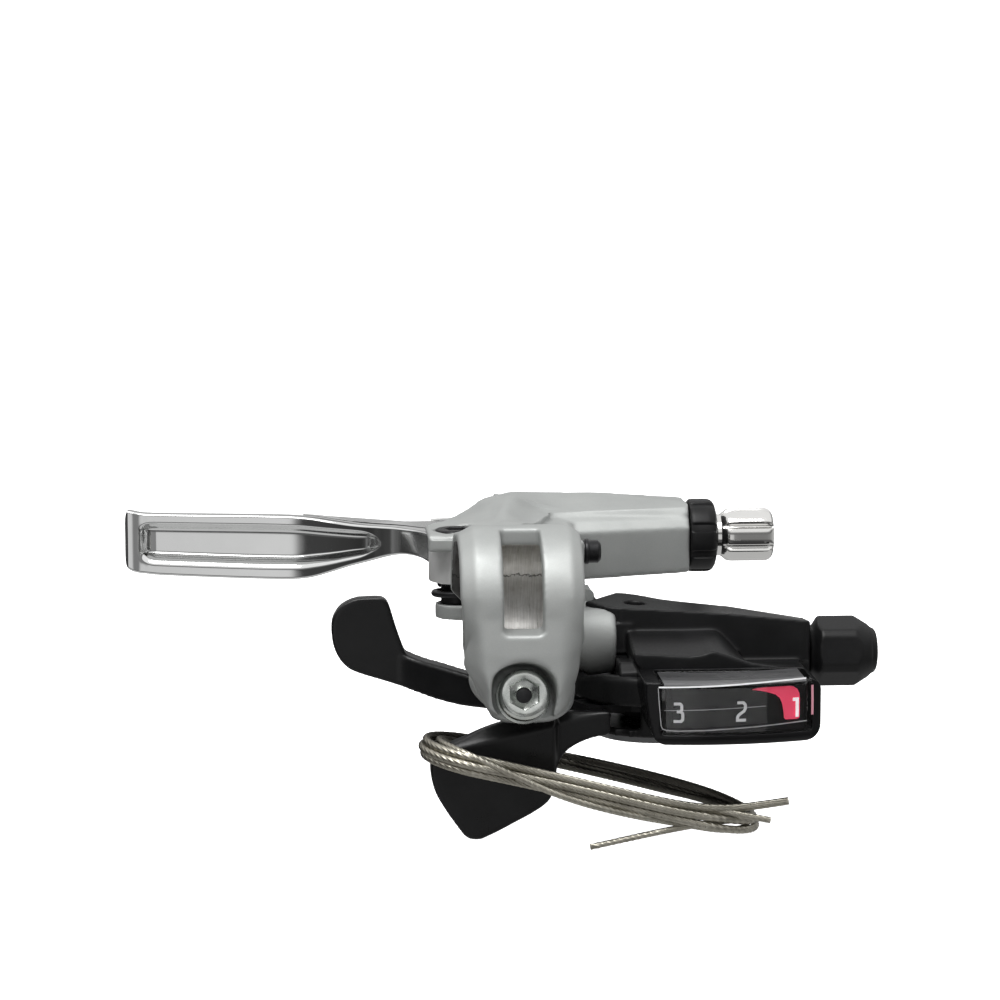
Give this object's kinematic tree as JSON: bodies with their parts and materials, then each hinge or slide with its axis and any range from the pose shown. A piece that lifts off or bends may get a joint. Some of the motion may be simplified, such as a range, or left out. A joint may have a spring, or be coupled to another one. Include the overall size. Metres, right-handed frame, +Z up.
{
  "type": "combined brake and shift lever",
  "caption": "Left-hand flat-bar bracket with a polished brake lever, barrel adjuster and a trigger shifter with gear window below the bar clamp; loose inner cable is coiled on the thumb lever.",
  "frame": {"origin": "centre of the bar clamp bore, half way along the clamp ring", "axes": "+X along the handlebar towards its middle, +Y forward away from the rider, +Z up"},
  "size_m": [0.1423, 0.073, 0.0593],
  "materials": {
    "silver_paint": "satin silver-grey paint over a die casting",
    "polished_alloy": "polished",
    "bright_alloy": "machined and bright",
    "zinc_steel": "zinc plated",
    "steel": "plain sheet steel",
    "black_steel": "black oxide",
    "bronze": "plain bearing bush",
    "black_plastic": "satin moulded, fine grain",
    "gloss_black": "smooth moulded",
    "grey_plastic": "satin dark grey",
    "clear_lens": "clear moulded plastic",
    "dial_black": "printed dial",
    "pointer_red": "pink-red",
    "cable_steel": "stranded stainless wire"
  },
  "bodies": {
    "bracket": {"bracket_body": "silver_paint", "clamp_bolt": "zinc_steel", "clamp_washer": "zinc_steel", "clamp_nut": "zinc_steel", "lever_pivot_bolt": "black_steel", "lever_return_spring": "black_steel", "shifter_housing": "black_plastic", "shifter_base_cover": "black_plastic", "bottom_cap": "grey_plastic", "shifter_fixing_bolt": "zinc_steel", "base_plate": "steel", "main_axle": "steel", "axle_nut": "zinc_steel", "winder_spring": "steel", "stop_pawl_pin": "steel", "cover_screws": "zinc_steel", "top_screw": "black_steel", "indicator_frame": "gloss_black", "indicator_lens": "clear_lens", "dial_plate": "dial_black", "thumb_lever_spring": "steel"},
    "lever": {"brake_lever": "polished_alloy", "pivot_bush": "bronze"},
    "anchor": {"cable_anchor": "steel"},
    "reach": {"reach_screw": "black_steel"},
    "barrel": {"brake_barrel_adjuster": "bright_alloy"},
    "lock": {"brake_lock_ring": "black_plastic"},
    "winder": {"winder_drum": "gloss_black", "ratchet_wheel": "steel"},
    "pointer": {"gear_pointer": "pointer_red"},
    "thumb": {"thumb_lever_plate": "steel", "thumb_lever": "black_plastic", "drive_pawl_pin": "steel", "cable_coil": "cable_steel", "brake_cable_end": "cable_steel", "gear_cable_tail": "cable_steel"},
    "pawl_drive": {"drive_pawl": "steel"},
    "release": {"release_lever_plate": "steel", "release_lever": "black_plastic"},
    "pawl_stop": {"stop_pawl": "steel"},
    "adjuster": {"shift_barrel_adjuster": "black_plastic"}
  },
  "joints": [
    {"name": "lever_pivot", "type": "hinge", "parent": "bracket", "child": "lever", "pos_m": [-0.01, 0.021, 0.005], "axis": [0, 0, 1], "range_deg": [0, 26], "stiffness_Nm_per_rad": 0.4, "springref_deg": -22.92},
    {"name": "anchor_swivel", "type": "hinge", "parent": "lever", "child": "anchor", "pos_m": [-0.01, 0.046, 0.0052], "axis": [0, 0, 1], "range_deg": [-30, 10]},
    {"name": "reach_turn", "type": "hinge", "parent": "bracket", "child": "reach", "pos_m": [0.01, 0.028, 0.005], "axis": [1, 0, 0], "continuous": true},
    {"name": "barrel_turn", "type": "hinge", "parent": "bracket", "child": "barrel", "pos_m": [0.048, 0.046, 0.0052], "axis": [1, 0, 0], "continuous": true},
    {"name": "lock_turn", "type": "hinge", "parent": "bracket", "child": "lock", "pos_m": [0.039, 0.046, 0.0052], "axis": [1, 0, 0], "continuous": true},
    {"name": "adjuster_turn", "type": "hinge", "parent": "bracket", "child": "adjuster", "pos_m": [0.062, 0.022, -0.0136], "axis": [1, 0, 0], "continuous": true},
    {"name": "winder_turn", "type": "hinge", "parent": "bracket", "child": "winder", "pos_m": [0.0265, 0.0155, -0.015], "axis": [0, 0, 1], "range_deg": [0, 110]},
    {"name": "pointer_swing", "type": "hinge", "parent": "bracket", "child": "pointer", "pos_m": [0.0343, 0.041, -0.018], "axis": [0, 0, 1], "range_deg": [-20.5, 0]},
    {"name": "thumb_push", "type": "hinge", "parent": "bracket", "child": "thumb", "pos_m": [0.0265, 0.0155, -0.021], "axis": [0, 0, 1], "range_deg": [-26, 0], "stiffness_Nm_per_rad": 0.2, "springref_deg": 20.05},
    {"name": "drive_pawl_tilt", "type": "hinge", "parent": "thumb", "child": "pawl_drive", "pos_m": [0.03145, 0.00693, -0.0194], "axis": [0, 0, 1], "range_deg": [-8, 0], "stiffness_Nm_per_rad": 0.0005, "springref_deg": 2.86},
    {"name": "release_pull", "type": "hinge", "parent": "bracket", "child": "release", "pos_m": [0.0265, 0.0155, -0.0228], "axis": [0, 0, 1], "range_deg": [0, 10], "stiffness_Nm_per_rad": 0.2, "springref_deg": -17.19},
    {"name": "stop_pawl_tilt", "type": "hinge", "parent": "bracket", "child": "pawl_stop", "pos_m": [0.03408, 0.02186, -0.0192], "axis": [0, 0, 1], "range_deg": [-10.5, 0]}
  ],
  "couplings": [
    {"joint": "pointer_swing", "follows": "winder_turn", "ratio": -0.186},
    {"joint": "stop_pawl_tilt", "follows": "release_pull", "ratio": -1}
  ]
}
